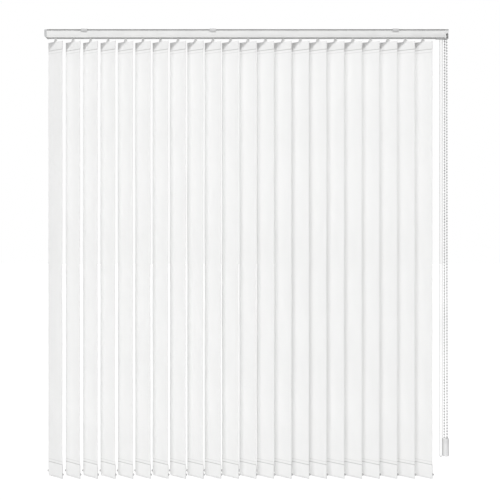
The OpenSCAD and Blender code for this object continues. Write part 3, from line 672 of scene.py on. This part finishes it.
def make_chain():
    """The bead chain: up the front strand, over the wheel and down the rear one."""
    middle = WHEEL_X - CHAIN_SIDE / 2
    front_end = Vector((middle + STRAND_X, -STRAND_Y, CHAIN_END_Z))
    rear_end = Vector((middle - STRAND_X, STRAND_Y, CHAIN_END_Z))
    pocket_turn = 360 / WHEEL_POCKETS
    first = BEAD_PITCH * (math.ceil(WHEEL_POCKETS / 2) - WHEEL_POCKETS / 2)
    aside = Vector((CHAIN_SIDE, 0, math.sqrt(BEAD_PITCH ** 2 - CHAIN_SIDE ** 2)))
    over = [wheel_point(180 - pocket_turn * k) for k in range(1, WHEEL_POCKETS // 2 + 1)]
    over.append(wheel_point(0) - Vector((0, 0, first)))
    front = beads_down(wheel_point(180), front_end)
    rear = beads_down(over[-1] - aside, rear_end)
    beads = front[::-1] + over + rear
    route = [front_end, *beads, rear_end]
    ball, link = bmesh.new(), bmesh.new()
    bmesh.ops.create_uvsphere(ball, u_segments=BEAD_SIDES, v_segments=BEAD_RINGS, radius=BEAD_R)
    add_bar(link, (0, 0, -0.5), (0, 0, 0.5), LINK_R, LINK_SIDES)
    copies = [(ball, Matrix.Translation(bead)) for bead in beads]
    for a, b in zip(route, route[1:]):
        way = b - a
        turn = way.to_track_quat("Z", "Y").to_matrix().to_4x4()
        stretch = Matrix.Diagonal((1, 1, way.length, 1))
        copies.append((link, Matrix.Translation((a + b) / 2) @ turn @ stretch))
    chain = place_mesh("bead_chain", copies_mesh("bead_chain", copies), MATERIALS["chain_plastic"],
                       "rail")
    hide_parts("control_chain")


def make_cord():
    """The loop of the draw cord: down the front drop, round and up the rear one."""
    front, rear = Vector((*CORD_FRONT, 0)), Vector((*CORD_REAR, 0))
    middle = (front + rear) / 2
    half = (rear - front) / 2
    levels = [CORD_TOP] + [z * MM for z in CORD_LEVELS]
    turns = [math.pi * (1 + k / CORD_TURN_STEPS) for k in range(CORD_TURN_STEPS + 1)]
    route = [front + Vector((0, 0, z)) for z in levels]
    route += [middle + half * math.cos(a) + Vector((0, 0, CORD_LOOP_Z + half.length * math.sin(a)))
              for a in turns]
    route += [rear + Vector((0, 0, z)) for z in reversed(levels)]
    curve = bpy.data.curves.new("draw_cord_loop", "CURVE")
    curve.dimensions = "3D"
    curve.bevel_depth = CORD_D / 2
    curve.bevel_resolution = 4
    spline = curve.splines.new("POLY")
    spline.points.add(len(route) - 1)
    for point, place in zip(spline.points, route):
        point.co = (*place, 1)
    curve.materials.append(MATERIALS["cord_braid"])
    piece = bpy.data.objects.new("draw_cord_loop", curve)
    bpy.context.scene.collection.objects.link(piece)
    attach(piece, "rail")
    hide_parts("draw_cord")


# CAD nodes that keep their shape

def dress_nodes():
    """Gives each node that still shows the finish of its slot in the record."""
    for part in frame["record"]["subparts"]:
        mesh = frame["nodes"][part["node"]].data
        mesh.materials.clear()
        mesh.materials.append(MATERIALS[part["material_slot"]])


# Studio

def make_camera():
    """A level camera in front of the blind, shifted so that the picture's rows are the photo's."""
    data = bpy.data.cameras.new("camera")
    data.sensor_width = SENSOR
    data.lens = SENSOR * CAMERA_DISTANCE / METRES_PER_PIXEL / IMAGE_SIDE
    data.shift_y = (HORIZON_ROW - IMAGE_SIDE / 2) / IMAGE_SIDE
    camera = bpy.data.objects.new("camera", data)
    camera.location = (CAMERA_X, -CAMERA_DISTANCE, CAMERA_Z)
    camera.rotation_euler = (math.pi / 2, 0, 0)
    bpy.context.scene.collection.objects.link(camera)
    bpy.context.scene.camera = camera


def make_world():
    """White to the camera and in reflections, and a softer light on the object."""
    world = bpy.data.worlds.new("studio")
    bpy.context.scene.world = world
    world.use_nodes = True
    tree = world.node_tree
    light = tree.nodes["Background"]
    light.inputs["Color"].default_value = WHITE
    light.inputs["Strength"].default_value = AMBIENT
    white = tree.nodes.new("ShaderNodeBackground")
    white.inputs["Color"].default_value = WHITE
    path = tree.nodes.new("ShaderNodeLightPath")
    seen = path.outputs["Is Camera Ray"]
    for ray in ("Is Glossy Ray", "Is Transmission Ray"):
        either = tree.nodes.new("ShaderNodeMath")
        either.operation = "MAXIMUM"
        tree.links.new(seen, either.inputs[0])
        tree.links.new(path.outputs[ray], either.inputs[1])
        seen = either.outputs["Value"]
    mix = tree.nodes.new("ShaderNodeMixShader")
    tree.links.new(seen, mix.inputs["Fac"])
    tree.links.new(light.outputs["Background"], mix.inputs[1])
    tree.links.new(white.outputs["Background"], mix.inputs[2])
    tree.links.new(mix.outputs["Shader"], tree.nodes["World Output"].inputs["Surface"])


def make_floor():
    """A pale floor below the blind, which keeps its shadow and reads white where it is lit.

    Its glow to the camera is less near the blind, where the lamps light the floor too."""
    material, link, shader, add = new_material("studio_floor")
    shader.inputs["Base Color"].default_value = FLOOR_COLOUR
    shader.inputs["Roughness"].default_value = 0.9
    path = add("ShaderNodeLightPath")
    distance = add("ShaderNodeVectorMath", operation="LENGTH")
    link(add("ShaderNodeTexCoord").outputs["Object"], distance.inputs["Vector"])
    glow = add("ShaderNodeMapRange")
    ends = ("From Min", "From Max", "To Min", "To Max")
    for name, value in zip(ends, FLOOR_REACH + FLOOR_GLOW):
        glow.inputs[name].default_value = value
    link(distance.outputs["Value"], glow.inputs["Value"])
    link(math_node(add, link, "MULTIPLY", path.outputs["Is Camera Ray"], glow.outputs["Result"]),
         shader.inputs["Emission Strength"])
    shader.inputs["Emission Color"].default_value = WHITE
    work = bmesh.new()
    bmesh.ops.create_grid(work, size=FLOOR_SIDE / 2, matrix=Matrix.Translation((0, 0, FLOOR_Z)))
    mesh = bpy.data.meshes.new("studio_floor")
    work.to_mesh(mesh)
    work.free()
    mesh.materials.append(material)
    floor = bpy.data.objects.new("studio_floor", mesh)
    bpy.context.scene.collection.objects.link(floor)


def make_lamps():
    """A key lamp high in front, a soft fill low in front and a weak lamp behind."""
    for name, place, aim, size, power in LAMPS:
        data = bpy.data.lights.new(name, "AREA")
        data.shape = "DISK"
        data.size = size
        data.energy = power
        lamp = bpy.data.objects.new(name, data)
        lamp.location = place
        lamp.rotation_euler = (Vector(aim) - Vector(place)).to_track_quat("-Z", "Y").to_euler()
        bpy.context.scene.collection.objects.link(lamp)


make_camera()
make_cord()
make_chain()
make_vanes()
dress_nodes()
make_world()
make_floor()
make_lamps()
bpy.context.scene.view_settings.view_transform = "Standard"
